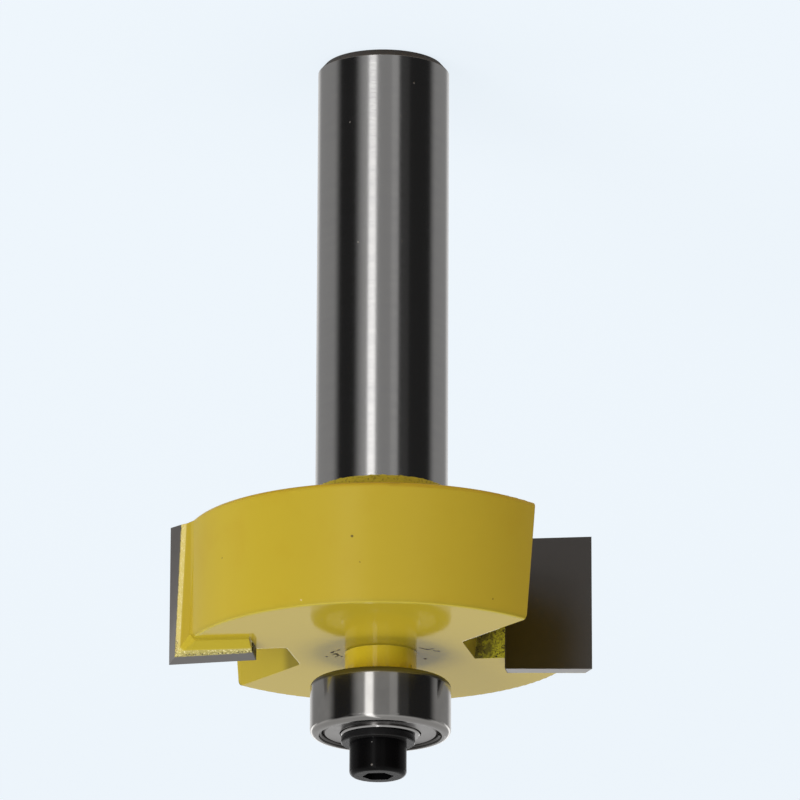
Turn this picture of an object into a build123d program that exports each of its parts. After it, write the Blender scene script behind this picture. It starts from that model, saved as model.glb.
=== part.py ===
from build123d import *

import os
from math import asin, cos, degrees, radians, sin, sqrt, tan

# A two-flute rabbeting router bit with a ball-bearing guide on its nose.
# It stands on the end of its shank. +Z runs along the axis, from the shank to the guide bearing.
# The origin is the centre of the shank's end face. The first cutting face looks towards +Y, on the +X side.
# Lengths are in millimetres and angles in degrees.

# Shank and neck
shank_diameter = 12.0
shank_length = 40.5  # ground and bare, from the end face to the painted neck
shank_chamfer_width = 0.6
shank_chamfer_height = 0.7
neck_step = 0.05  # how much the unground, painted neck stands over the shank, on the radius
neck_length = 3.9
neck_fillet = 2.0

# Body: a chip-limiting disc with one gullet ahead of each cutting edge
cutting_diameter = 38.1
chip_limit = 1.35  # how far the cutting edges stand out of the body, on the radius
body_height = 11.1
rim_round = 0.5
flute_count = 2

# Gullets
face_setback = 2.76  # the cutting face lies this far behind the axis, measured at the nose face
shear_angle = 3.55  # tilt of the cutting face: its nose end leads
gullet_root = 8.2  # distance of the gullet's floor from the axis, beside the cutting face at the nose
gullet_floor = 5.95  # width of that floor
gullet_floor_skew = 4.4  # the floor runs inwards away from the cutting face
gullet_floor_lean = 5.1  # and outwards towards the shank
gullet_back_angle = 47.5  # of the trailing side, from the cutting face
gullet_corner_round = 0.8
gullet_reach = 6.0  # how far the cutter that mills the gullet overshoots the body

# Carbide tips
tip_width = 7.85
tip_thickness = 2.0
tip_back_stand = 0.2  # how far the tip stands out of the body's other face
tip_nose_stand = 1.28  # how far the outer corner stands out of the nose face
side_relief_nose = 13.5  # of the outer side, at the nose
side_relief_back = 23.5  # and at the tip's other end
nose_relief = 8.5
back_relief = 4.5
dish_angle = 1.7  # the nose edge rises towards the axis
braze_thickness = 0.08
land_thickness = 0.87  # steel behind the braze, ground back with the tip
land_relief = 29  # of its outer side and its nose end
land_back_relief = 5.0
land_corner = 0.35
heel_thickness = 1.3  # steel behind the land that slopes down into the body
heel_side_drop = 0.9
heel_corner = 0.6

# Post and spigot that carry the bearing
post_diameter = 6.5
post_length = 2.75
post_fillet = 0.25
spigot_clearance = 0.006
spigot_short = 0.4  # the spigot ends this far inside the bearing, so the washer grips the inner ring
spigot_chamfer = 0.2

# Guide bearing
bearing_diameter = 12.7
bearing_bore = 4.762
bearing_width = 4.978
bearing_corner_round = 0.6
ball_diameter = 2.381
ball_count = 7
ball_clearance = 0.01
groove_conformity = 0.52  # groove radius over ball diameter
outer_land_depth = 1.2  # from the outer ring's outside to its inner land
inner_land_depth = 1.19  # from the bore to the inner ring's outer land
inner_ring_chamfer = 0.12

# Shields and the wires that hold them
shield_sheet = 0.2
shield_recess = 0.25  # from the bearing's face to the shield
shield_dish = 0.26  # the shield's rim lies this much deeper than its middle
shield_gap = 0.1  # running gap between the shield and the inner ring
shield_rim_width = 0.55
shield_rim_clearance = 0.01
lip_wall = 0.8  # wall of the outer ring outside the shield
wire_diameter = 0.35
wire_gap_angle = 22
wire_gap_turn = 190  # where the wire's gap ends, about the axis
wire_clearance = 0.005
wire_seat = 0.075  # how far the wire springs into the lip's groove

# Ball cage
cage_sheet = 0.18
cage_width = 0.8
cage_play = 0.06  # between a pocket and its ball
rivet_diameter = 0.36
rivet_clearance = 0.005
rivet_head_diameter = 0.6
rivet_head_height = 0.12

# Washer and screw
washer_diameter = 6.65
washer_thickness = 0.7
washer_bore = 3.2
washer_edge_chamfer = 0.08
thread_diameter = 3.0
thread_clearance = 0.02
screw_length = 10.0
screw_head_diameter = 5.15
screw_head_height = 3.0
screw_head_round = 0.45
screw_point_chamfer = 0.3
socket_across_flats = 2.5
socket_depth = 1.5
drill_point_angle = 118
hole_spare_depth = 2.0
screw_offset = 0.2  # the tapped hole lies off the axis by this much, towards +X

# Stations along the axis, from the shank's end
neck_z = shank_length
back_z = neck_z + neck_length
nose_z = back_z + body_height
seat_z = nose_z + post_length
bearing_z = seat_z + bearing_width / 2
washer_z = seat_z + bearing_width
head_z = washer_z + washer_thickness
spigot_z = washer_z - spigot_short
screw_point_z = head_z - screw_length
hole_end_z = screw_point_z - hole_spare_depth

# Radii
shank_radius = shank_diameter / 2
neck_radius = shank_radius + neck_step
cutting_radius = cutting_diameter / 2
body_radius = cutting_radius - chip_limit
post_radius = post_diameter / 2
bore_radius = bearing_bore / 2
spigot_radius = bore_radius - spigot_clearance
ring_radius = bearing_diameter / 2
ball_radius = ball_diameter / 2
pitch_radius = (ring_radius + bore_radius) / 2
groove_radius = ball_diameter * groove_conformity
outer_land_radius = ring_radius - outer_land_depth
inner_land_radius = bore_radius + inner_land_depth
lip_radius = ring_radius - lip_wall
thread_radius = thread_diameter / 2


def corner(sketch, x, y):
    """The sketch's own vertex nearest to a point."""
    return sketch.vertices().sort_by_distance((x, y, 0))[0]


# Steel body

# The cutting face: x runs outwards, y up to the nose, and the normal points back into the steel.
cutting_face = Plane(
    origin=(0, -face_setback, nose_z),
    x_dir=(1, 0, 0),
    z_dir=(0, -cos(radians(shear_angle)), sin(radians(shear_angle))),
)
face_lean = tan(radians(shear_angle))
face_stretch = 1 / cos(radians(shear_angle))
hook_angle = degrees(asin(face_setback / cutting_radius))


def edge_x(height):
    """Where the cutting circle meets the cutting face, at a height over the nose face."""
    return sqrt(cutting_radius**2 - (face_setback - height * face_lean) ** 2)


tip_inner_x = edge_x(tip_nose_stand) - tip_width
pocket_inner_x = tip_inner_x - braze_thickness
pocket_depth = tip_thickness + braze_thickness


def tip_corners(depth, inner_x):
    """Corners of the tip's outline on a plane this far behind the cutting face."""
    nose_x = edge_x(tip_nose_stand) - depth * tan(radians(hook_angle + side_relief_nose))
    back_x = edge_x(-body_height - tip_back_stand) - depth * tan(radians(hook_angle + side_relief_back))
    nose_y = tip_nose_stand * face_stretch - depth * tan(radians(nose_relief))
    back_y = -(body_height + tip_back_stand) * face_stretch + depth * tan(radians(back_relief))
    dish_drop = (nose_x - inner_x) * tan(radians(dish_angle))
    return [(inner_x, nose_y - dish_drop), (nose_x, nose_y), (back_x, back_y), (inner_x, back_y)]


def tip_plate(thickness, inner_x):
    """A plate behind the cutting face, with the tip's relieved sides."""
    with BuildPart() as made:
        for depth in (0, thickness):
            with BuildSketch(cutting_face.offset(depth)):
                Polygon(*tip_corners(depth, inner_x), align=None)
        loft(ruled=True)
    return made.part


tip_blank = tip_plate(tip_thickness, tip_inner_x)
braze_blank = tip_plate(pocket_depth, pocket_inner_x)

# Steel behind the tip: a land ground back with it, then a heel that slopes down into the body
with BuildPart() as land:
    (_, inner_y), (nose_x, nose_y), (back_x, back_y), _ = tip_corners(pocket_depth, tip_inner_x)
    land_depth = pocket_depth + land_thickness
    land_drop = land_thickness * tan(radians(hook_angle + land_relief))
    land_nose_y = nose_y - land_thickness * tan(radians(land_relief))
    land_back_y = back_y + land_thickness * tan(radians(land_back_relief))
    land_sections = [
        (pocket_depth, 0, inner_y, nose_y, back_y, braze_thickness),
        (land_depth, land_drop, land_nose_y, land_nose_y, land_back_y, land_corner),
        (land_depth + heel_thickness, land_drop + heel_side_drop, 0, 0, land_back_y, heel_corner),
    ]
    for depth, side_drop, inner_end, nose_end, back_end, cut in land_sections:
        nose_corner = (nose_x - side_drop, nose_end)
        back_corner = (back_x - side_drop, back_end)
        with BuildSketch(cutting_face.offset(depth)) as outline:
            Polygon((tip_inner_x, inner_end), nose_corner, back_corner, (tip_inner_x, back_end), align=None)
            chamfer(corner(outline, *nose_corner), length=cut)
    loft(ruled=True)

with BuildPart() as gullet:
    with BuildSketch(Plane.XY.offset(nose_z)) as gullet_sketch:
        floor_end = gullet_floor - face_setback
        outside = body_radius + gullet_reach
        root_end = gullet_root - gullet_floor * tan(radians(gullet_floor_skew))
        run_out = (outside - root_end) * tan(radians(gullet_back_angle))
        with BuildLine():
            Polyline(
                (outside, -face_setback),
                (gullet_root, -face_setback),
                (root_end, floor_end),
                (outside, floor_end + run_out),
                close=True,
            )
        make_face()
        fillet(corner(gullet_sketch, root_end, floor_end), radius=gullet_corner_round)
    gullet_way = Vector(-tan(radians(gullet_floor_lean)), face_lean, 1)
    extrude(amount=gullet_reach + body_height, dir=gullet_way, both=True)

with BuildPart() as pocket:
    with BuildSketch(cutting_face):
        with Locations((pocket_inner_x, -body_height / 2)):
            Rectangle(cutting_radius, 2 * body_height, align=(Align.MIN, Align.CENTER))
    extrude(amount=pocket_depth)

with BuildPart() as cutter_body:
    with BuildSketch(Plane.XZ) as section:
        with BuildLine():
            Polyline(
                (0, 0),
                (shank_radius - shank_chamfer_width, 0),
                (shank_radius, shank_chamfer_height),
                (shank_radius, neck_z),
                (neck_radius, neck_z),
                (neck_radius, back_z),
                (body_radius, back_z),
                (body_radius, nose_z),
                (post_radius, nose_z),
                (post_radius, seat_z),
                (spigot_radius, seat_z),
                (spigot_radius, spigot_z),
                (0, spigot_z),
                close=True,
            )
        make_face()
        fillet(corner(section, neck_radius, back_z), radius=neck_fillet)
        rims = [corner(section, body_radius, back_z), corner(section, body_radius, nose_z)]
        fillet(rims, radius=rim_round)
        fillet(corner(section, post_radius, nose_z), radius=post_fillet)
        chamfer(corner(section, spigot_radius, spigot_z), length=spigot_chamfer)
    revolve(axis=Axis.Z)
    with PolarLocations(0, flute_count):
        add(gullet.part, mode=Mode.SUBTRACT)
        add(land.part)
        add(pocket.part, mode=Mode.SUBTRACT)
    with Locations((screw_offset, 0, spigot_z)):
        Hole(radius=thread_radius, depth=spigot_z - hole_end_z)
    with Locations((screw_offset, 0, hole_end_z)):
        Cone(
            bottom_radius=0,
            top_radius=thread_radius,
            height=thread_radius / tan(radians(drill_point_angle / 2)),
            align=(Align.CENTER, Align.CENTER, Align.MAX),
            mode=Mode.SUBTRACT,
        )
cutter_body.part.label = "cutter_body"


# Carbide tips and the braze that holds them: one of each for a flute

tips = []
braze_layers = []
for flute in range(flute_count):
    with BuildPart() as tip:
        with Locations(Location((0, 0, 0), (0, 0, 360 / flute_count * flute))):
            add(tip_blank)
    tip.part.label = f"carbide_tip_{flute + 1}"
    tips.append(tip.part)

    with BuildPart() as braze:
        with Locations(Location((0, 0, 0), (0, 0, 360 / flute_count * flute))):
            add(braze_blank)
            add(tip_blank, mode=Mode.SUBTRACT)
    braze.part.label = f"braze_layer_{flute + 1}"
    braze_layers.append(braze.part)


# Guide bearing: its section lies in a plane through the axis, with the origin at the bearing's middle


def section_plane(x, z, turn=0):
    """A plane through an upright axis at x, with its origin at height z, turned about that axis."""
    outwards = (cos(radians(turn)), sin(radians(turn)), 0)
    return Plane(origin=(x, 0, z), x_dir=outwards, z_dir=(outwards[1], -outwards[0], 0))


bearing_plane = section_plane(0, bearing_z)
half_width = bearing_width / 2
shield_z = half_width - shield_recess
rim_z = shield_z - shield_dish
wire_z = rim_z + wire_diameter / 2
wire_circle = lip_radius + wire_seat - wire_diameter / 2
sides = {"nose": 1, "shank": -1}

with BuildPart() as bearing_outer_ring:
    with BuildSketch(bearing_plane) as section:
        with Locations((outer_land_radius, 0)):
            Rectangle(outer_land_depth, bearing_width, align=(Align.MIN, Align.CENTER))
        fillet(section.vertices().group_by(Axis.X)[-1], radius=bearing_corner_round)
        with Locations((pitch_radius + ball_radius + ball_clearance / 2 - groove_radius, 0)):
            Circle(groove_radius, mode=Mode.SUBTRACT)
        for side in sides.values():
            with Locations((lip_radius, side * half_width)):
                Rectangle(
                    ring_radius,
                    2 * (half_width - rim_z + shield_sheet),
                    align=(Align.MAX, Align.CENTER),
                    mode=Mode.SUBTRACT,
                )
            with Locations((lip_radius + wire_seat + wire_clearance, side * wire_z)):
                Rectangle(
                    wire_diameter,
                    wire_diameter + 2 * wire_clearance,
                    align=(Align.MAX, Align.CENTER),
                    mode=Mode.SUBTRACT,
                )
    revolve(axis=Axis.Z)
bearing_outer_ring.part.label = "bearing_outer_ring"

with BuildPart() as bearing_inner_ring:
    with BuildSketch(bearing_plane) as section:
        with Locations((bore_radius, 0)):
            Rectangle(inner_land_depth, bearing_width, align=(Align.MIN, Align.CENTER))
        chamfer(section.vertices(), length=inner_ring_chamfer)
        with Locations((pitch_radius - ball_radius - ball_clearance / 2 + groove_radius, 0)):
            Circle(groove_radius, mode=Mode.SUBTRACT)
    revolve(axis=Axis.Z)
bearing_inner_ring.part.label = "bearing_inner_ring"

balls = []
for number in range(ball_count):
    with BuildPart() as ball:
        turn = radians(360 / ball_count * number)
        with Locations((pitch_radius * cos(turn), pitch_radius * sin(turn), bearing_z)):
            Sphere(ball_radius)
    ball.part.label = f"bearing_ball_{number + 1}"
    balls.append(ball.part)


# Ball cage: two pressed halves, arched over each ball and riveted flat to flat between the balls

cage_pocket_radius = ball_radius + cage_play


def cage_band():
    """The cage's band, seen along the axis."""
    Circle(pitch_radius + cage_width / 2)
    Circle(pitch_radius - cage_width / 2, mode=Mode.SUBTRACT)


def ball_tunnels(radius, mode=Mode.ADD):
    """A round bar through each ball's place, pointing away from the axis."""
    with PolarLocations(pitch_radius, ball_count):
        Cylinder(radius, ball_diameter, rotation=(0, 90, 0), mode=mode)


with BuildPart() as cage_arches:
    ball_tunnels(cage_pocket_radius + cage_sheet)
    with BuildSketch():
        cage_band()
    extrude(amount=ball_diameter, mode=Mode.INTERSECT)

with BuildPart() as cage_half:
    with BuildSketch():
        cage_band()
    extrude(amount=cage_sheet)
    add(cage_arches.part)
    ball_tunnels(cage_pocket_radius, mode=Mode.SUBTRACT)
    with BuildSketch():
        with PolarLocations(pitch_radius, ball_count, start_angle=180 / ball_count):
            Circle(rivet_diameter / 2 + rivet_clearance)
    extrude(amount=cage_sheet, mode=Mode.SUBTRACT)

cage_halves = []
for name, side in sides.items():
    with BuildPart() as cage:
        with Locations(Location((0, 0, bearing_z), (90 - 90 * side, 0, 0))):
            add(cage_half.part)
    cage.part.label = f"bearing_cage_{name}"
    cage_halves.append(cage.part)

with BuildPart() as bearing_cage_rivets:
    with BuildSketch(Plane.XY.offset(bearing_z)):
        with PolarLocations(pitch_radius, ball_count, start_angle=180 / ball_count):
            Circle(rivet_diameter / 2)
    extrude(amount=cage_sheet, both=True)
    for side in sides.values():
        with BuildSketch(Plane.XY.offset(bearing_z + side * cage_sheet)):
            with PolarLocations(pitch_radius, ball_count, start_angle=180 / ball_count):
                Circle(rivet_head_diameter / 2)
        extrude(amount=side * rivet_head_height)
bearing_cage_rivets.part.label = "bearing_cage_rivets"


# Shields: pressed sheet, with a rim set down onto the outer ring's shoulder, under a sprung wire

shield_inner_radius = inner_land_radius + shield_gap
shield_step_radius = lip_radius - shield_rim_width
shield_rim_radius = lip_radius - shield_rim_clearance
sheet_bend = shield_sheet * tan(radians(22.5))  # shift of a 45 degree bend across the sheet

shields = []
wires = []
for name, side in sides.items():
    with BuildPart() as shield:
        with BuildSketch(bearing_plane):
            with BuildLine():
                Polyline(
                    (shield_inner_radius, side * shield_z),
                    (shield_step_radius, side * shield_z),
                    (shield_step_radius + shield_dish, side * rim_z),
                    (shield_rim_radius, side * rim_z),
                    (shield_rim_radius, side * (rim_z - shield_sheet)),
                    (shield_step_radius + shield_dish - sheet_bend, side * (rim_z - shield_sheet)),
                    (shield_step_radius - sheet_bend, side * (shield_z - shield_sheet)),
                    (shield_inner_radius, side * (shield_z - shield_sheet)),
                    close=True,
                )
            make_face()
        revolve(axis=Axis.Z)
    shield.part.label = f"bearing_shield_{name}"
    shields.append(shield.part)

    with BuildPart() as wire:
        with BuildSketch(section_plane(0, bearing_z, wire_gap_turn)):
            with Locations((wire_circle, side * wire_z)):
                Circle(wire_diameter / 2)
        revolve(axis=Axis.Z, revolution_arc=360 - wire_gap_angle)
    wire.part.label = f"bearing_snap_wire_{name}"
    wires.append(wire.part)


# Washer and screw, on the tapped hole's axis

screw_axis = Axis((screw_offset, 0, 0), (0, 0, 1))

with BuildPart() as bearing_washer:
    with BuildSketch(Plane.XY.offset(washer_z)):
        with Locations((screw_offset, 0)):
            Circle(washer_diameter / 2)
            Circle(washer_bore / 2, mode=Mode.SUBTRACT)
    extrude(amount=washer_thickness)
    outside_edges = bearing_washer.edges().filter_by(GeomType.CIRCLE).group_by(SortBy.RADIUS)[-1]
    chamfer(outside_edges, length=washer_edge_chamfer)
bearing_washer.part.label = "bearing_washer"

with BuildPart() as bearing_screw:
    with BuildSketch(section_plane(screw_offset, head_z)) as section:
        Rectangle(screw_head_diameter / 2, screw_head_height, align=Align.MIN)
        fillet(corner(section, screw_head_diameter / 2, screw_head_height), radius=screw_head_round)
        Rectangle(thread_radius - thread_clearance, screw_length, align=(Align.MIN, Align.MAX))
        chamfer(
            corner(section, thread_radius, -screw_length),
            length=screw_point_chamfer,
        )
    revolve(axis=screw_axis)
    with BuildSketch(Plane.XY.offset(head_z + screw_head_height)):
        with Locations((screw_offset, 0)):
            RegularPolygon(radius=socket_across_flats / 2, side_count=6, major_radius=False)
    extrude(amount=-socket_depth, mode=Mode.SUBTRACT)
    with Locations((screw_offset, 0, head_z + screw_head_height - socket_depth)):
        Cone(
            bottom_radius=0,
            top_radius=socket_across_flats / 2,
            height=socket_across_flats / 2 / tan(radians(drill_point_angle / 2)),
            align=(Align.CENTER, Align.CENTER, Align.MAX),
            mode=Mode.SUBTRACT,
        )
bearing_screw.part.label = "bearing_screw"


os.makedirs("parts", exist_ok=True)
single_pieces = [
    cutter_body,
    bearing_outer_ring,
    bearing_inner_ring,
    bearing_cage_rivets,
    bearing_washer,
    bearing_screw,
]
pieces = [made.part for made in single_pieces] + tips + braze_layers + balls + cage_halves + shields + wires
for piece in pieces:
    export_step(piece, f"parts/{piece.label}.step")
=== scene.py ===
# Router bit: looks, light and camera around the fixed frame. Metres, +Z from the shank's end to the bearing.
import math

import bpy
from mathutils import Matrix, Vector

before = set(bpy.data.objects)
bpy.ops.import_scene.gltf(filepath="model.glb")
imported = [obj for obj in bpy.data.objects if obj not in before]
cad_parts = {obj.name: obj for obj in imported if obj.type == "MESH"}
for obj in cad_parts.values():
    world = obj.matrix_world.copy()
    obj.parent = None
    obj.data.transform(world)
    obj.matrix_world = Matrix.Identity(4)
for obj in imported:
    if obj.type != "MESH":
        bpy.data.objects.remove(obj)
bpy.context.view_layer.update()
print("frame loaded:", len(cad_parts), "nodes")

scene = bpy.context.scene
scene.view_settings.view_transform = "Standard"

# The photograph's view: a long lens from low on the shank's side, with the picture turned shank up.
cameraView = {
    "aim": (-0.001617, 0.000199, 0.031725),
    "distance": 0.865654,
    "azimuth": -7.018,
    "elevation": 16.382,
    "roll": -179.742,
    "lens": 429.17,
    "clip": (0.05, 20),
}


def towards(azimuth, elevation):
    # Unit vector at these angles in degrees; azimuth 0 is -Y and 90 is +X.
    az, el = math.radians(azimuth), math.radians(elevation)
    return Vector((math.sin(az) * math.cos(el), -math.cos(az) * math.cos(el), math.sin(el)))


def placeCamera(view):
    # The camera looks along -direction; right and up are crossed from it, then turned by the roll.
    direction = towards(view["azimuth"], view["elevation"])
    roll = math.radians(view["roll"])
    right = Vector((0, 0, 1)).cross(direction).normalized()
    up = direction.cross(right)
    turnedRight = right * math.cos(roll) + up * math.sin(roll)
    turnedUp = up * math.cos(roll) - right * math.sin(roll)
    axes = Matrix((turnedRight, turnedUp, direction)).transposed().to_4x4()
    data = bpy.data.cameras.new("photoCamera")
    data.lens = view["lens"]
    data.clip_start, data.clip_end = view["clip"]
    camera = bpy.data.objects.new("photoCamera", data)
    camera.matrix_world = Matrix.Translation(Vector(view["aim"]) + direction * view["distance"]) @ axes
    scene.collection.objects.link(camera)
    scene.camera = camera


placeCamera(cameraView)
print("camera placed")


# Shader helpers. A value that is a socket gets linked, any other is set on the input itself.
def addNode(tree, kind, inputs=None, **settings):
    made = tree.nodes.new(kind)
    for name, value in settings.items():
        setattr(made, name, value)
    for name, value in (inputs or {}).items():
        if isinstance(value, bpy.types.NodeSocket):
            tree.links.new(value, made.inputs[name])
        else:
            made.inputs[name].default_value = value
    return made


def calc(tree, operation, *values):
    return addNode(tree, "ShaderNodeMath", dict(enumerate(values)), operation=operation).outputs[0]


def product(tree, first, *others):
    for value in others:
        first = calc(tree, "MULTIPLY", first, value)
    return first


def vectorCalc(tree, operation, *values, output="Vector"):
    made = addNode(tree, "ShaderNodeVectorMath", dict(enumerate(values)), operation=operation)
    return made.outputs[output]


def split(tree, vector):
    return addNode(tree, "ShaderNodeSeparateXYZ", {0: vector}).outputs


def step(tree, value, low, high):
    # Smooth step: 0 at or below low, 1 at or above high; falls instead where low is the greater.
    inputs = {"Value": value, "From Min": low, "From Max": high}
    return addNode(tree, "ShaderNodeMapRange", inputs, interpolation_type="SMOOTHSTEP").outputs[0]


def within(tree, value, low, high, soft):
    # 1 between low and high, falling to 0 over twice soft at each end.
    rising = step(tree, value, low - soft, low + soft)
    return product(tree, rising, step(tree, value, high + soft, high - soft))


def spread(tree, value, low, high):
    return addNode(tree, "ShaderNodeMapRange", {"Value": value, "To Min": low, "To Max": high}).outputs[0]


# The Mix node keeps a pair of inputs and an output of its own for each kind of value.
def mixLevel(tree, factor, first, second):
    return addNode(tree, "ShaderNodeMix", {0: factor, 2: first, 3: second}).outputs[0]


def mixVector(tree, factor, first, second):
    inputs = {0: factor, 4: first, 5: second}
    return addNode(tree, "ShaderNodeMix", inputs, data_type="VECTOR").outputs[1]


def blend(tree, factor, first, second):
    # Colours are tuples of three or sockets.
    inputs = {0: factor}
    for index, colour in ((6, first), (7, second)):
        inputs[index] = (*colour, 1) if isinstance(colour, tuple) else colour
    return addNode(tree, "ShaderNodeMix", inputs, data_type="RGBA").outputs[2]


def noise(tree, vector, scale, detail=3.0, roughness=0.5, output="Fac"):
    inputs = {"Vector": vector, "Scale": scale, "Detail": detail, "Roughness": roughness}
    return addNode(tree, "ShaderNodeTexNoise", inputs).outputs[output]


def stretched(tree, vector, scale):
    return vectorCalc(tree, "MULTIPLY", vector, scale)


def drawnOut(tree, place, stretch, detail=3.0, roughness=0.5):
    # Noise drawn out into lines along the axes whose stretch is the smaller.
    return noise(tree, stretched(tree, place, stretch), 1, detail, roughness)


def bump(tree, height, distance, strength=1.0, normal=None):
    inputs = {"Height": height, "Distance": distance, "Strength": strength}
    if normal is not None:
        inputs["Normal"] = normal
    return addNode(tree, "ShaderNodeBump", inputs).outputs[0]


def principled(tree, inputs):
    return addNode(tree, "ShaderNodeBsdfPrincipled", inputs).outputs[0]


def finishMaterial(tree, shader):
    addNode(tree, "ShaderNodeOutputMaterial", {0: shader})


# Studio: a pale room seen past light cards. Metal sees the cards round it by their bearing, in degrees from
# the camera towards the picture's right, each with a flat middle, soft sides and a level where 1 is white.
# A height here is that of a direction, from -1 straight down to 1 straight up; a pair is where a part starts
# and where it is full.
studio = {
    "background": (0.863, 0.922, 0.984),
    "fill": 0.45,
    "roomLevel": 0.02,
    "overheadLevel": 0.58,
    "overheadBehind": (0.03, 0.2),  # behind the object the pale ceiling comes down lower
    "overheadBefore": (0.25, 0.75),
    "behindFrom": (80, 110),  # degrees from the camera
    "underLevel": 0.07,  # seen by surfaces that look down past the cards
    "underHeight": (-0.6, -0.75),
    "cards": {
        "frontLeft": {"bearing": -24, "width": 16, "soft": 22, "level": 0.37},
        "frontRight": {"bearing": 0, "width": 32, "soft": 6, "level": 0.3},
        "frontEdge": {"bearing": 21, "width": 11, "soft": 3, "level": 0.4},
        "rightDim": {"bearing": 37, "width": 18, "soft": 2.5, "level": 0.05},
        "backWall": {"bearing": -175.5, "width": 157, "soft": 21, "level": 0.31},
        "backGlow": {"bearing": 180, "width": 30, "soft": 38, "level": 0.8},
    },
    "horizon": {"bearing": 180, "width": 60, "soft": 40, "level": 1.7},  # a bright line low behind the object
    "horizonHeight": (0.14, 0.06),
    "strip": {"bearing": -18.6, "width": 10, "soft": 4, "level": 1.85},  # a tall lamp, from low in front up
    "stripFoot": (-0.36, -0.32),
    "stripTopHeight": (0.0, 0.15),
    "stripTopLevel": 2.2,
}


def offBearing(tree, bearing):
    # Degrees between a bearing and the camera's, whichever way round is shorter.
    return calc(tree, "ABSOLUTE", calc(tree, "WRAP", bearing, 180, -180))


def cardLevel(tree, bearing, card):
    away = offBearing(tree, calc(tree, "SUBTRACT", bearing, card["bearing"]))
    half = card["width"] / 2
    return product(tree, step(tree, away, half + card["soft"], half), card["level"])


def reflectedRoom(tree, bearing, height, values):
    level = values["roomLevel"]
    for card in values["cards"].values():
        level = calc(tree, "MAXIMUM", level, cardLevel(tree, bearing, card))
    under = step(tree, height, *values["underHeight"])
    level = mixLevel(tree, under, level, values["underLevel"])
    behind = step(tree, offBearing(tree, bearing), *values["behindFrom"])
    before = step(tree, height, *values["overheadBefore"])
    overhead = mixLevel(tree, behind, before, step(tree, height, *values["overheadBehind"]))
    level = mixLevel(tree, overhead, level, values["overheadLevel"])
    low = step(tree, calc(tree, "ABSOLUTE", height), *values["horizonHeight"])
    level = calc(tree, "MAXIMUM", level, product(tree, low, cardLevel(tree, bearing, values["horizon"])))
    strip = cardLevel(tree, bearing, values["strip"])
    topShare = values["stripTopLevel"] / values["strip"]["level"]
    brighter = mixLevel(tree, step(tree, height, *values["stripTopHeight"]), 1.0, topShare)
    strip = product(tree, strip, step(tree, height, *values["stripFoot"]), brighter)
    return calc(tree, "MAXIMUM", level, strip)


def buildWorld(values, view):
    world = bpy.data.worlds.new("studio")
    scene.world = world
    world.use_nodes = True
    tree = world.node_tree
    tree.nodes.clear()
    axes = split(tree, addNode(tree, "ShaderNodeTexCoord").outputs["Generated"])
    azimuth = calc(tree, "ARCTAN2", axes[0], calc(tree, "MULTIPLY", axes[1], -1))
    bearing = calc(tree, "SUBTRACT", view["azimuth"], calc(tree, "MULTIPLY", azimuth, 180 / math.pi))
    level = reflectedRoom(tree, bearing, axes[2], values)
    paths = addNode(tree, "ShaderNodeLightPath").outputs
    seen = calc(tree, "MAXIMUM", paths["Is Camera Ray"], paths["Is Transmission Ray"])
    lit = mixLevel(tree, paths["Is Glossy Ray"], values["fill"], level)
    room = addNode(tree, "ShaderNodeBackground", {"Color": (1, 1, 1, 1), "Strength": lit}).outputs[0]
    plain = {"Color": (*values["background"], 1), "Strength": 1.0}
    pale = addNode(tree, "ShaderNodeBackground", plain).outputs[0]
    mixed = addNode(tree, "ShaderNodeMixShader", {0: seen, 1: room, 2: pale}).outputs[0]
    addNode(tree, "ShaderNodeOutputWorld", {0: mixed})


floorValues = {
    "size": 4.0,
    "below": 0.00002,
    "glow": (0.777, 0.844, 0.904),  # the pale board's own light, so that the shadow on it stays faint
    "colour": (0.08, 0.08, 0.08),
    "bounce": (0.7, 0.46, 0.26),  # what the object is lit by from below: warm, as off a wooden bench
}


def buildFloor(values):
    material = bpy.data.materials.new("floorBoard")
    material.use_nodes = True
    tree = material.node_tree
    tree.nodes.clear()
    board = addNode(tree, "ShaderNodeBsdfDiffuse", {"Color": (*values["colour"], 1)}).outputs[0]
    glow = {"Color": (*values["glow"], 1), "Strength": 1.0}
    glow = addNode(tree, "ShaderNodeEmission", glow).outputs[0]
    pale = addNode(tree, "ShaderNodeAddShader", {0: board, 1: glow}).outputs[0]
    bounce = addNode(tree, "ShaderNodeBsdfDiffuse", {"Color": (*values["bounce"], 1)}).outputs[0]
    lighting = addNode(tree, "ShaderNodeLightPath").outputs["Is Diffuse Ray"]
    finishMaterial(tree, addNode(tree, "ShaderNodeMixShader", {0: lighting, 1: pale, 2: bounce}).outputs[0])
    half = values["size"] / 2
    square = ((-half, -half), (half, -half), (half, half), (-half, half))
    corners = [(x, y, -values["below"]) for x, y in square]
    mesh = bpy.data.meshes.new("floorBoard")
    mesh.from_pydata(corners, [], [(0, 1, 2, 3)])
    mesh.materials.append(material)
    floor = bpy.data.objects.new("floorBoard", mesh)
    scene.collection.objects.link(floor)
    floor.visible_glossy = False


# Soft lamps, each at a bearing from the camera and a height, in degrees. The level is what a lamp adds to a
# white wall.
lamps = {
    "keyLamp": {"bearing": -36, "height": 25, "size": 0.5, "level": 0.51, "colour": (1, 1, 1)},
    "sideLamp": {"bearing": -105, "height": 10, "size": 0.5, "level": 0.14, "colour": (1, 1, 1)},
    "topLamp": {"bearing": 0, "height": 88, "size": 0.6, "level": 0.38, "colour": (1, 0.88, 0.74)},
}
lampDistance = 0.9


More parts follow.
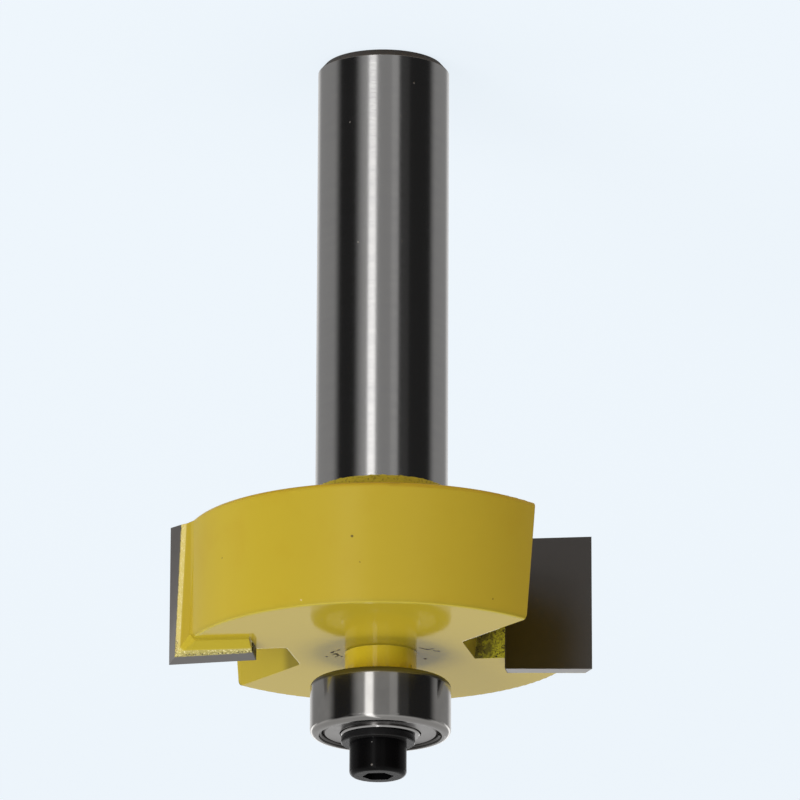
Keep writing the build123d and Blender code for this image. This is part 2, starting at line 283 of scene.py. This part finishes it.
def buildLamps(values, view):
    # Each lamp stands at lampDistance from the aim and faces it. Power is level * pi^2 * distance^2.
    for name, lamp in values.items():
        direction = towards(view["azimuth"] - lamp["bearing"], lamp["height"])
        data = bpy.data.lights.new(name, "AREA")
        data.shape = "DISK"
        data.size = lamp["size"]
        data.color = lamp["colour"]
        data.energy = lamp["level"] * (math.pi * lampDistance) ** 2
        made = bpy.data.objects.new(name, data)
        made.location = Vector(view["aim"]) + direction * lampDistance
        made.rotation_euler = direction.to_track_quat("Z", "Y").to_euler()
        made.visible_glossy = False
        scene.collection.objects.link(made)


buildWorld(studio, cameraView)
buildFloor(floorValues)
buildLamps(lamps, cameraView)
print("studio lit")


def newMaterial(name):
    material = bpy.data.materials.new(name)
    material.use_nodes = True
    tree = material.node_tree
    tree.nodes.clear()
    place = addNode(tree, "ShaderNodeTexCoord").outputs["Object"]
    return material, tree, place


# The two teeth are alike half a turn apart, so their marks are placed by outward = |x|, by height, and by how
# far a point lies behind the cutting face.
toothPlace = {
    "noseFace": 0.0555,
    "setback": 0.00276,
    "lean": 0.062,  # the cutting face moves forward by this share of the way to the nose
    "tipInside": 0.011,
    "land": (0.00208, 0.0028),  # its two edges, behind the cutting face
}


def toothAxes(tree, place):
    axes = split(tree, place)
    side = calc(tree, "SIGN", axes[0])
    outward = calc(tree, "MULTIPLY", axes[0], side)
    lead = calc(tree, "MULTIPLY", axes[1], side)
    rise = calc(tree, "SUBTRACT", axes[2], toothPlace["noseFace"])
    face = calc(tree, "MULTIPLY_ADD", rise, toothPlace["lean"], -toothPlace["setback"])
    return outward, calc(tree, "SUBTRACT", face, lead)


# Small marks on turned sides: turn about the axis in degrees, height, radius, distance from the axis.
smallMarks = {
    "raggedTexture": (9000, 2),  # scale and detail
    "ragged": 0.00012,
    "soft": 0.00012,
    "pinholes": [
        (-88.7, 0.04944, 0.00012, 0.0177),
        (-43.8, 0.0496, 0.00006, 0.0177),
        (-91, 0.05184, 0.00005, 0.0177),
        (-131.2, 0.05437, 0.00006, 0.0177),
        (42, 0.0502, 0.0001, 0.0177),
        (96, 0.0475, 0.00008, 0.0177),
        (-154.9, 0.05714, 0.0001, 0.00325),
    ],
    "dustSpecks": [(-73.6, 0.05498, 0.00006, 0.0177), (60, 0.0535, 0.00006, 0.0177)],
    "shankSpecks": [
        (-66.6, 0.00691, 0.00004, 0.006),
        (-75.1, 0.01846, 0.00005, 0.006),
        (-124.6, 0.00319, 0.00005, 0.006),
        (-112.5, 0.00651, 0.00003, 0.006),
        (-113.9, 0.0184, 0.00003, 0.006),
    ],
    # painted glints: pale spots where the strip lamp would shine on the screw
    "glintSpots": [  # on the screw's head
        (-82.4, 0.06381, 0.0001, 0.002594),
        (-85.5, 0.06378, 0.00003, 0.002585),
        (-80.1, 0.06437, 0.00003, 0.002602),
        (-80.3, 0.06648, 0.00007, 0.002601),
    ],
    "shakeTexture": (2600, 2),
    "scratchShake": 0.0005,
    "scratchSoft": 0.00005,
    "scratches": [  # on the nose face round the post: from, to, half a width
        ((0.0042, -0.0004), (0.00365, 0.0009), 0.00006),
        ((0.0039, -0.0011), (0.00352, -0.0017), 0.00006),
        ((0.0044, 0.0002), (0.00391, -0.0003), 0.00008),
        ((0.0045, -0.0005), (0.0040, -0.0012), 0.00006),
        ((0.0039, 0.0003), (0.0042, 0.0009), 0.00005),
        ((-0.00373, -0.00155), (-0.00434, -0.00086), 0.0001),
        ((-0.00434, -0.00086), (-0.00484, -0.00099), 0.0001),
        ((-0.00478, -0.00046), (-0.00523, -0.00014), 0.00007),
        ((-0.0037, 0.0023), (-0.0038, 0.0025), 0.00012),
        ((0.00504, 0.00058), (0.00505, 0.00076), 0.00007),
    ],
}


def speckMask(tree, place, specks):
    # Small ragged dots, by the distance from each one's middle.
    ragged = calc(tree, "MULTIPLY", noise(tree, place, *smallMarks["raggedTexture"]), smallMarks["ragged"])
    mask = 0.0
    for turn, height, size, radius in specks:
        angle = math.radians(turn)
        centre = (radius * math.cos(angle), radius * math.sin(angle), height)
        away = vectorCalc(tree, "DISTANCE", place, centre, output="Value")
        away = calc(tree, "ADD", away, ragged)
        mask = calc(tree, "MAXIMUM", mask, step(tree, away, size + smallMarks["soft"], size))
    return mask


def scratchMask(tree, place, scratches, height):
    # Wavering strokes: distance to the segment between two points, once the place is shaken by noise.
    shake = noise(tree, place, *smallMarks["shakeTexture"], output="Color")
    shake = vectorCalc(tree, "SUBTRACT", shake, (0.5, 0.5, 0.5))
    reach = (smallMarks["scratchShake"], smallMarks["scratchShake"], 0)
    shaken = vectorCalc(tree, "MULTIPLY_ADD", shake, reach, place)
    mask = 0.0
    for start, end, half in scratches:
        first = Vector((*start, height))
        along = Vector((*end, height)) - first
        offset = vectorCalc(tree, "SUBTRACT", shaken, first)
        share = vectorCalc(tree, "DOT_PRODUCT", offset, along / along.length_squared, output="Value")
        share = calc(tree, "MINIMUM", calc(tree, "MAXIMUM", share, 0.0), 1.0)
        foot = addNode(tree, "ShaderNodeVectorMath", {0: along, "Scale": share}, operation="SCALE").outputs[0]
        away = vectorCalc(tree, "DISTANCE", offset, foot, output="Value")
        mask = calc(tree, "MAXIMUM", mask, step(tree, away, half + smallMarks["scratchSoft"], half))
    return mask


# Body of the cutter: one piece of steel, ground and bare on the shank, painted from the neck to the post.
sharedTones = {
    "yellow": (0.489, 0.404, 0.033),
    "olive": (0.12, 0.108, 0.012),
    "dirt": (0.03, 0.022, 0.01),
    "dust": (0.75, 0.72, 0.5),
}

# Each texture's scale, detail and, where it isn't 0.5, roughness.
bodyTextures = {
    "cloud": (260, 3),
    "peel": (900, 2),
    "patches": (1400, 4, 0.6),
    "paintLine": (1800, 4),
    "grit": (4200, 5, 0.7),
    "coarse": (7000, 3, 0.6),
}

bodyLook = {
    "yellowDeep": (0.478, 0.382, 0.029),
    "cloudShare": (0.5, 0.8),
    # painted light: the nose face is painted a warmer yellow, for the warm light from above
    "noseLitTone": (0.495, 0.387, 0.03),
    "neckTone": (0.46, 0.45, 0.035),
    "neckGrit": (0.5, 0.7),
    # painted shade: the gullet's floor is darker, for the light that the tip and wall keep from it
    "floorShadeTone": (0.25, 0.205, 0.02),
    # painted shade: the gullet's trailing wall, turned away from the lamps, is painted darker than the yellow
    "wallShadeTone": (0.44, 0.36, 0.03),
    # painted shade: the tooth's back behind the land is painted darker than the yellow
    "backShadeTone": (0.43, 0.345, 0.028),
    # painted light: the post is painted a brighter, more orange yellow, as if it were lit more
    "postLitTone": (0.7, 0.52, 0.025),
    "peelDepth": 0.00002,
    "peelStrength": 0.2,
    "gritDepth": 0.0001,
    "gritStrength": 0.9,
    "sheen": 0.08,
    "rimSheen": 0.22,
    "scuffSheen": 0.45,
    "roughSheen": 0.4,
    "gloss": 0.4,
    "dullGloss": -0.36,  # on the tooth's back and the scuffs
    "postGloss": 0.45,
}

# Where each finish of the body lies. A pair is a soft edge, with none at the first and all at the second.
# Where a line for its softness follows, the pair is the two ends.
bodyZones = {
    "paintLine": (0.0406, 0.0407),
    "paintLineWander": 0.0003,
    "neckTop": (0.044, 0.0432),
    "upright": (0.6, 0.4),  # the part of the normal along the axis: a side wall has little of it
    "gulletInside": (0.0064, 0.0068),
    "gulletOutside": (0.01758, 0.01748),
    "seat": (-0.0001, 0.0001),
    "seatSoft": 0.00004,
    "ahead": (-0.0001, -0.0002),  # the gullet in front of the cutting face
    "floorOut": (0.0098, 0.0088),
    "backBehind": (0.0029, 0.0047),
    "backSoft": 0.0001,
    "backOut": (0.0108, 0.011),
    "proudHeight": (0.0551, 0.0553),
    "proudRadius": (0.01774, 0.01784),
    "postRadius": (0.0036, 0.0034),
    "postHeight": (0.05558, 0.05564),
    "noseHeight": (0.0554, 0.0556),
    "noseSoft": 0.00004,
    "noseRadius": (0.0172, 0.0171),
    "scuffHeight": (0.0553, 0.05545),
    "rimRadius": (0.0172, 0.01735),
    "rimTurn": (0.6, 0.2),
}

# The seat face ahead of each tip, where the brazing left the paint rough and olive.
seatLook = {
    "light": (0.4, 0.385, 0.022),
    "lighterOut": (0.009, 0.0107),
    "lighterBy": 0.2,
    "patchShare": (0.45, 0.68),
    "gritShare": (0.52, 0.42),
    "gritLevel": 0.6,
    "pitShare": (0.56, 0.62),
    "tipWander": 0.0016,
    "tipSide": (0.01176, 0.01188),
}


def seatShade(tree, place, outward, grit, coarse, values):
    lighter = product(tree, step(tree, outward, *values["lighterOut"]), values["lighterBy"])
    patches = calc(tree, "ADD", noise(tree, place, *bodyTextures["patches"]), lighter)
    shade = blend(tree, step(tree, patches, *values["patchShare"]), sharedTones["olive"], values["light"])
    gritty = product(tree, step(tree, grit, *values["gritShare"]), values["gritLevel"])
    shade = blend(tree, gritty, shade, sharedTones["olive"])
    shade = blend(tree, step(tree, coarse, *values["pitShare"]), shade, sharedTones["dirt"])
    tipSide = calc(tree, "MULTIPLY_ADD", coarse, values["tipWander"], outward)
    return blend(tree, step(tree, tipSide, *values["tipSide"]), shade, sharedTones["dirt"])


# Land behind each tip: ground pale, with a ragged, dirty edge towards the carbide, duller on the nose. The
# pale tone is partly the ground paint and partly a painted highlight, for the light its ground face catches.
landLook = {
    # partly the ground paint, partly a painted highlight
    "pale": (0.66, 0.6, 0.19),
    "fleck": (0.8, 0.75, 0.4),
    "dull": (0.42, 0.37, 0.1),
    "soft": 0.00004,
    "inside": 0.0002,
    "wander": 0.0002,
    "fleckShare": (0.52, 0.62),
    "yellowShare": (0.6, 0.7),
    "dullFacing": (0.4, 0.6),
    "dullShare": (0.62, 0.5),
    "dirtBehind": (0.0026, 0.0022),
    "dirtShare": (0.5, 0.58),
    "dirtHeight": (0.0549, 0.0553),
}


def landMask(tree, outward, behind, grit, values):
    ragged = calc(tree, "MULTIPLY_ADD", grit, values["wander"], -values["wander"] / 2)
    behind = calc(tree, "ADD", behind, ragged)
    onLand = within(tree, behind, *toothPlace["land"], values["soft"])
    tipInside = toothPlace["tipInside"]
    return product(tree, onLand, step(tree, outward, tipInside - values["inside"], tipInside))


def landShade(tree, behind, height, noseFacing, grit, coarse, values):
    shade = blend(tree, step(tree, grit, *values["fleckShare"]), values["pale"], values["fleck"])
    shade = blend(tree, step(tree, coarse, *values["yellowShare"]), shade, sharedTones["yellow"])
    dulled = step(tree, noseFacing, *values["dullFacing"])
    dulled = product(tree, dulled, step(tree, grit, *values["dullShare"]))
    shade = blend(tree, dulled, shade, values["dull"])
    dirty = product(
        tree,
        step(tree, behind, *values["dirtBehind"]),
        step(tree, coarse, *values["dirtShare"]),
        step(tree, height, *values["dirtHeight"]),
    )
    return blend(tree, dirty, shade, sharedTones["dirt"])


# The paint draws the nose rim and the post's foot crisper than their roundings: past a point on each the
# shading looks along the axis, before it away from the axis. Other edges are drawn a little softer.
edgeLook = {
    "rimCentre": (0.0172, 0.055),  # middle of the nose rim's rounding: distance from the axis, height
    "rimBand": (0.00044, 0.00052),  # how far from that middle the rounding's surface lies
    "rimBandSoft": 0.00001,
    "rimSide": (-0.00003, 0),
    "rimShare": 0.85,
    "rimTurn": (-0.00005, 0.0004),
    "footRadius": (0.00356, 0.00352),
    "footTop": (0.05578, 0.05574),
    "footBottom": (0.0554, 0.0555),
    "footTurn": (0.05564, 0.05558),
    "softenRadius": (0.0042, 0.0045),
    "softenBy": 0.00011,
}


def edgeNormal(tree, place, radius, height, values):
    # The normal, where the rim's rounding is, and how far along it a point lies towards the nose.
    past = calc(tree, "SUBTRACT", radius, values["rimCentre"][0])
    above = calc(tree, "SUBTRACT", height, values["rimCentre"][1])
    squares = calc(tree, "ADD", calc(tree, "POWER", past, 2), calc(tree, "POWER", above, 2))
    onRim = within(tree, calc(tree, "SQRT", squares), *values["rimBand"], values["rimBandSoft"])
    onRim = product(tree, onRim, step(tree, past, *values["rimSide"]), step(tree, above, *values["rimSide"]))
    towardNose = step(tree, calc(tree, "SUBTRACT", above, past), *values["rimTurn"])
    onFoot = product(
        tree,
        step(tree, radius, *values["footRadius"]),
        step(tree, height, *values["footTop"]),
        step(tree, height, *values["footBottom"]),
    )
    soften = product(tree, step(tree, radius, *values["softenRadius"]), values["softenBy"])
    softened = addNode(tree, "ShaderNodeBevel", {"Radius": soften}, samples=8).outputs[0]
    outwards = vectorCalc(tree, "NORMALIZE", stretched(tree, place, (1, 1, 0)))
    alongAxis = mixLevel(tree, onFoot, towardNose, step(tree, height, *values["footTurn"]))
    crisp = mixVector(tree, alongAxis, outwards, (0, 0, 1))
    share = calc(tree, "MAXIMUM", product(tree, onRim, values["rimShare"]), onFoot)
    return vectorCalc(tree, "NORMALIZE", mixVector(tree, share, softened, crisp)), onRim, towardNose


def paintShader(tree, place, height, values, zones):
    outward, behind = toothAxes(tree, place)
    radius = vectorCalc(tree, "LENGTH", stretched(tree, place, (1, 1, 0)), output="Value")
    noseFacing = split(tree, addNode(tree, "ShaderNodeNewGeometry").outputs["True Normal"])[2]
    grit = noise(tree, place, *bodyTextures["grit"])
    coarse = noise(tree, place, *bodyTextures["coarse"])

    upright = step(tree, calc(tree, "ABSOLUTE", noseFacing), *zones["upright"])
    inGullet = step(tree, radius, *zones["gulletInside"])
    inGullet = product(tree, upright, inGullet, step(tree, radius, *zones["gulletOutside"]))
    onSeat = product(tree, inGullet, within(tree, behind, *zones["seat"], zones["seatSoft"]))
    onWall = product(tree, inGullet, step(tree, behind, *zones["ahead"]))
    onFloor = product(tree, onWall, step(tree, outward, *zones["floorOut"]))
    onLand = landMask(tree, outward, behind, grit, landLook)
    onBack = within(tree, behind, *zones["backBehind"], zones["backSoft"])
    proud = step(tree, radius, *zones["proudRadius"])
    proud = calc(tree, "MAXIMUM", step(tree, height, *zones["proudHeight"]), proud)
    onBack = product(tree, onBack, step(tree, outward, *zones["backOut"]), proud)
    onPost = product(tree, step(tree, radius, *zones["postRadius"]), step(tree, height, *zones["postHeight"]))
    onNeck = step(tree, height, *zones["neckTop"])
    onNose = within(tree, height, *zones["noseHeight"], zones["noseSoft"])
    onNose = product(tree, onNose, step(tree, radius, *zones["noseRadius"]))
    scuffed = scratchMask(tree, place, smallMarks["scratches"], toothPlace["noseFace"])
    scuffed = product(tree, step(tree, height, *zones["scuffHeight"]), scuffed)

    neckShade = blend(tree, step(tree, grit, *values["neckGrit"]), values["neckTone"], sharedTones["olive"])
    cloud = step(tree, noise(tree, place, *bodyTextures["cloud"]), *values["cloudShare"])
    yellow = blend(tree, cloud, sharedTones["yellow"], values["yellowDeep"])
    for mask, share, tone in (
        (onNeck, 0.9, neckShade),
        # painted light: a warmer yellow on the nose face
        (onNose, 1.0, values["noseLitTone"]),
        # painted shade on the gullet's wall
        (onWall, 1.0, values["wallShadeTone"]),
        # painted shade on the gullet's floor
        (onFloor, 1.0, values["floorShadeTone"]),
        # painted shade on the tooth's back
        (onBack, 0.8, values["backShadeTone"]),
        # painted light: a brighter yellow on the post
        (onPost, 1.0, values["postLitTone"]),
        (onSeat, 1.0, seatShade(tree, place, outward, grit, coarse, seatLook)),
        (onLand, 1.0, landShade(tree, behind, height, noseFacing, grit, coarse, landLook)),
        (scuffed, 0.9, sharedTones["dirt"]),
        (speckMask(tree, place, smallMarks["pinholes"]), 0.8, sharedTones["dirt"]),
        (speckMask(tree, place, smallMarks["dustSpecks"]), 0.8, sharedTones["dust"]),
    ):
        yellow = blend(tree, product(tree, mask, share), yellow, tone)

    normal, rounding, towardNose = edgeNormal(tree, place, radius, height, edgeLook)
    peel = noise(tree, place, *bodyTextures["peel"])
    peel = bump(tree, peel, values["peelDepth"], values["peelStrength"], normal)
    rough = calc(tree, "MAXIMUM", onSeat, onNeck)
    gritty = bump(tree, grit, values["gritDepth"], product(tree, rough, values["gritStrength"]), peel)
    sideOnly = mixLevel(tree, rounding, 1.0, step(tree, towardNose, *zones["rimTurn"]))
    onRim = product(tree, step(tree, radius, *zones["rimRadius"]), sideOnly)
    sheen = calc(tree, "MULTIPLY_ADD", onRim, values["rimSheen"], values["sheen"])
    sheen = calc(tree, "MULTIPLY_ADD", scuffed, values["scuffSheen"], sheen)
    sheen = calc(tree, "MULTIPLY_ADD", rough, values["roughSheen"], sheen)
    dull = calc(tree, "MAXIMUM", onBack, scuffed)
    gloss = calc(tree, "MULTIPLY_ADD", dull, values["dullGloss"], values["gloss"])
    gloss = calc(tree, "MULTIPLY_ADD", onPost, values["postGloss"], gloss)
    inputs = {"Base Color": yellow, "Roughness": sheen, "Normal": gritty, "Specular IOR Level": gloss}
    return principled(tree, inputs)


shankLook = {
    "steel": (0.58, 0.57, 0.555),
    "steelDark": (0.53, 0.52, 0.52),
    # painted reflection: the end chamfer's dark colour stands in for the dark it would mirror
    "chamferDarkReflection": (0.1, 0.108, 0.118),
    "lineStretch": (60, 60, 9000),
    "lineTexture": (2, 0.6),  # detail and roughness
    "lineDepth": 0.000004,
    "waveStretch": (1500, 1500, 6000),
    "waveDepth": 0.00001,
    "streakStretch": (300, 300, 1500),
    "groundStrength": 0.3,
    "roughness": 0.13,
    "streakRoughness": 0.07,
    "chamferRoughness": 0.4,
    "chamferDull": 0.8,
    "speckShare": 0.35,
    "gloss": 0.05,
    "chamfer": (0.00003, 0.0007),
    "chamferSoft": 0.00003,
}


def shankShader(tree, place, height, values):
    # Ground steel: fine lines round the axis, wider waves, faint streaks, and a chamfer at the end painted
    # dark and less metallic, a painted reflection of dark surroundings.
    lines = drawnOut(tree, place, values["lineStretch"], *values["lineTexture"])
    waves = drawnOut(tree, place, values["waveStretch"])
    streak = drawnOut(tree, place, values["streakStretch"])
    specks = product(tree, speckMask(tree, place, smallMarks["shankSpecks"]), values["speckShare"])
    onChamfer = within(tree, height, *values["chamfer"], values["chamferSoft"])
    bare = blend(tree, streak, values["steel"], values["steelDark"])
    bare = blend(tree, specks, bare, sharedTones["dust"])
    dull = calc(tree, "MAXIMUM", product(tree, onChamfer, values["chamferDull"]), specks)
    roughness = calc(tree, "MULTIPLY_ADD", streak, values["streakRoughness"], values["roughness"])
    ground = bump(tree, lines, values["lineDepth"], values["groundStrength"])
    inputs = {
        "Base Color": blend(tree, onChamfer, bare, values["chamferDarkReflection"]),
        "Metallic": calc(tree, "SUBTRACT", 1.0, dull),
        "Roughness": calc(tree, "MULTIPLY_ADD", onChamfer, values["chamferRoughness"], roughness),
        "Specular IOR Level": values["gloss"],
        "Normal": bump(tree, waves, values["waveDepth"], values["groundStrength"], ground),
    }
    return principled(tree, inputs)


def paintedBody():
    material, tree, place = newMaterial("paintedBody")
    height = split(tree, place)[2]
    wander = noise(tree, place, *bodyTextures["paintLine"])
    wander = calc(tree, "MULTIPLY", wander, bodyZones["paintLineWander"])
    painted = step(tree, calc(tree, "ADD", height, wander), *bodyZones["paintLine"])
    steel = shankShader(tree, place, height, shankLook)
    paint = paintShader(tree, place, height, bodyLook, bodyZones)
    mixed = addNode(tree, "ShaderNodeMixShader", {0: painted, 1: steel, 2: paint}).outputs[0]
    finishMaterial(tree, mixed)
    return material


carbideLook = {
    "rake": (0.134, 0.123, 0.115),
    "relief": (0.31, 0.285, 0.27),
    "reliefNose": (0.215, 0.2, 0.19),
    "cloud": (0.1, 0.09, 0.08),
    "cloudTexture": (900, 3),
    "cloudLevel": 0.25,
    "lineStretch": (400, 400, 6000),
    "lineTexture": (2, 0.6),
    "lineDepth": 0.000002,
    "lineStrength": 0.3,
    "roughness": 0.3,
    "onRake": (0.0001, 0.00004),
    "onNose": (0.6, 0.8),
    "rakeTilt": (-0.048, -0.075),  # the lapped face mirrors as if it leant so, outwards and along the axis
}


def groundCarbide(values):
    # The cutting face is lapped and dark, the relieved sides are ground.
    material, tree, place = newMaterial("groundCarbide")
    onRake = step(tree, toothAxes(tree, place)[1], *values["onRake"])
    cloud = noise(tree, place, *values["cloudTexture"])
    lines = drawnOut(tree, place, values["lineStretch"], *values["lineTexture"])
    normals = addNode(tree, "ShaderNodeNewGeometry").outputs
    onNose = step(tree, split(tree, normals["True Normal"])[2], *values["onNose"])
    side = calc(tree, "SIGN", split(tree, place)[0])
    outwards, along = values["rakeTilt"]
    tilt = {0: calc(tree, "MULTIPLY", side, outwards), 1: 0.0, 2: along}
    tilt = addNode(tree, "ShaderNodeCombineXYZ", tilt).outputs[0]
    tilted = vectorCalc(tree, "ADD", normals["Normal"], tilt)
    facing = vectorCalc(tree, "NORMALIZE", mixVector(tree, onRake, normals["Normal"], tilted))
    shade = blend(tree, onNose, values["relief"], values["reliefNose"])
    shade = blend(tree, onRake, shade, values["rake"])
    shade = blend(tree, product(tree, cloud, values["cloudLevel"]), shade, values["cloud"])
    normal = bump(tree, lines, values["lineDepth"], values["lineStrength"], facing)
    inputs = {"Base Color": shade, "Metallic": 1.0, "Roughness": values["roughness"], "Normal": normal}
    finishMaterial(tree, principled(tree, inputs))
    return material


brazeLook = {
    "dark": (0.03, 0.024, 0.01),
    "painted": (0.56, 0.5, 0.12),
    "texture": (4000, 3, 0.6),
    "depth": 0.00005,
    "strength": 0.6,
    "roughness": 0.45,
    "outside": (0.0113, 0.0117),
    "outsideShare": (0.38, 0.46),
    "insideShare": (0.62, 0.7),
}


def brazeSeam(values):
    # Bare and dark along the tip's inner edge, painted over on the outside.
    material, tree, place = newMaterial("brazeSeam")
    outward = toothAxes(tree, place)[0]
    ragged = noise(tree, place, *values["texture"])
    painted = step(tree, outward, *values["outside"])
    painted = product(tree, painted, step(tree, ragged, *values["outsideShare"]))
    painted = calc(tree, "MAXIMUM", painted, step(tree, ragged, *values["insideShare"]))
    shade = blend(tree, painted, values["dark"], values["painted"])
    normal = bump(tree, ragged, values["depth"], values["strength"])
    inputs = {"Base Color": shade, "Roughness": values["roughness"], "Normal": normal}
    finishMaterial(tree, principled(tree, inputs))
    return material


# Metals of the bearing. The outer ring is rough at its edge towards the disc, below one height; its colour is
# dimmed there and, a little, on its nose face, above another: painted shade for the darker reflections those
# parts show.
metalLooks = {
    "ringSteel": {
        "colour": (0.5, 0.485, 0.465),
        "roughness": 0.13,
        "lineScale": 9000,
        "lineDepth": 2e-6,
        "shadeBelow": 0.05885,
        "shadeAbove": 0.06295,
    },
    "innerRingSteel": {"colour": (0.5, 0.49, 0.48), "roughness": 0.15, "lineScale": 9000, "lineDepth": 2e-6},
    "ballSteel": {"colour": (0.6, 0.6, 0.6), "roughness": 0.05, "lineScale": 3000, "lineDepth": 2e-7},
    "cageSheet": {"colour": (0.5, 0.48, 0.45), "roughness": 0.3, "lineScale": 5000, "lineDepth": 2e-6},
    "shieldSheet": {"colour": (0.4, 0.39, 0.38), "roughness": 0.3, "lineScale": 5000, "lineDepth": 2e-6},
    # painted shade: the snap wire is near black, for the shade it lies in
    "wireSteel": {"colour": (0.11, 0.105, 0.1), "roughness": 0.3, "lineScale": 5000, "lineDepth": 2e-6},
}
metalGrain = {
    "lineStretch": (60, 60),
    "lineTexture": (2, 0.6),
    "lineStrength": 0.3,
    "cloud": (500, 3),
    "cloudShare": (0.35, 0.7),
    "cloudDim": 0.9,
    "roughnessRange": (0.85, 1.15),
    "edgeSoft": 0.0001,
    # painted shade on the ring's edge towards the disc
    "edgeShade": 0.35,
    "edgeRougher": 0.3,
    # painted shade on the ring's nose face
    "faceShade": 0.66,
}


def dimmed(colour, share):
    return tuple(c * share for c in colour)


def groundMetal(name):
    # Metal with fine grinding lines that run round the axis.
    values = metalLooks[name]
    colour = values["colour"]
    material, tree, place = newMaterial(name)
    stretch = (*metalGrain["lineStretch"], values["lineScale"])
    lines = drawnOut(tree, place, stretch, *metalGrain["lineTexture"])
    cloud = noise(tree, place, *metalGrain["cloud"])
    cloudy = step(tree, cloud, *metalGrain["cloudShare"])
    shade = blend(tree, cloudy, colour, dimmed(colour, metalGrain["cloudDim"]))
    rough = spread(tree, cloud, *(values["roughness"] * share for share in metalGrain["roughnessRange"]))
    if "shadeBelow" in values:
        height = split(tree, place)[2]
        soft = metalGrain["edgeSoft"]
        below = step(tree, height, values["shadeBelow"] + soft, values["shadeBelow"] - soft)
        shade = blend(tree, below, shade, dimmed(colour, metalGrain["edgeShade"]))
        rough = calc(tree, "MULTIPLY_ADD", below, metalGrain["edgeRougher"], rough)
        above = step(tree, height, values["shadeAbove"] - soft, values["shadeAbove"] + soft)
        shade = blend(tree, above, shade, dimmed(colour, metalGrain["faceShade"]))
    normal = bump(tree, lines, values["lineDepth"], metalGrain["lineStrength"])
    inputs = {"Base Color": shade, "Metallic": 1.0, "Roughness": rough, "Normal": normal}
    finishMaterial(tree, principled(tree, inputs))
    return material


blackLooks = {
    "washerBlack": {"colour": (0.012, 0.012, 0.0125), "gloss": 0.19},
    "screwBlack": {"colour": (0.003, 0.003, 0.0033), "gloss": 0.085},
}
blackGrain = {
    "cloud": (700, 4),
    "darker": 0.6,
    "lighter": 1.4,
    "roughness": (0.2, 0.3),
    "depth": 0.00001,
    "strength": 0.4,
    # the colour of the painted glints
    "glint": (0.25, 0.25, 0.25),
}


def blackOxide(name):
    # Oiled black oxide, faintly cloudy, with a few pale spots painted on as glints.
    values = blackLooks[name]
    material, tree, place = newMaterial(name)
    cloud = noise(tree, place, *blackGrain["cloud"])
    darker, lighter = (dimmed(values["colour"], blackGrain[share]) for share in ("darker", "lighter"))
    shade = blend(tree, cloud, darker, lighter)
    shade = blend(tree, speckMask(tree, place, smallMarks["glintSpots"]), shade, blackGrain["glint"])
    inputs = {
        "Base Color": shade,
        "Roughness": spread(tree, cloud, *blackGrain["roughness"]),
        "Specular IOR Level": values["gloss"],
        "Normal": bump(tree, cloud, blackGrain["depth"], blackGrain["strength"]),
    }
    finishMaterial(tree, principled(tree, inputs))
    return material


def dressNodes(looks):
    # Each material goes to all the nodes whose names start with its prefix.
    for prefix, material in looks.items():
        for name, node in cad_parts.items():
            if name.startswith(prefix):
                for materialSlot in node.material_slots:
                    materialSlot.material = material


dressNodes(
    {
        "cutter_body": paintedBody(),
        "carbide_tip": groundCarbide(carbideLook),
        "braze_layer": brazeSeam(brazeLook),
        "bearing_outer_ring": groundMetal("ringSteel"),
        "bearing_inner_ring": groundMetal("innerRingSteel"),
        "bearing_ball": groundMetal("ballSteel"),
        "bearing_cage": groundMetal("cageSheet"),
        "bearing_shield": groundMetal("shieldSheet"),
        "bearing_snap_wire": groundMetal("wireSteel"),
        "bearing_washer": blackOxide("washerBlack"),
        "bearing_screw": blackOxide("screwBlack"),
    }
)
print("materials set")
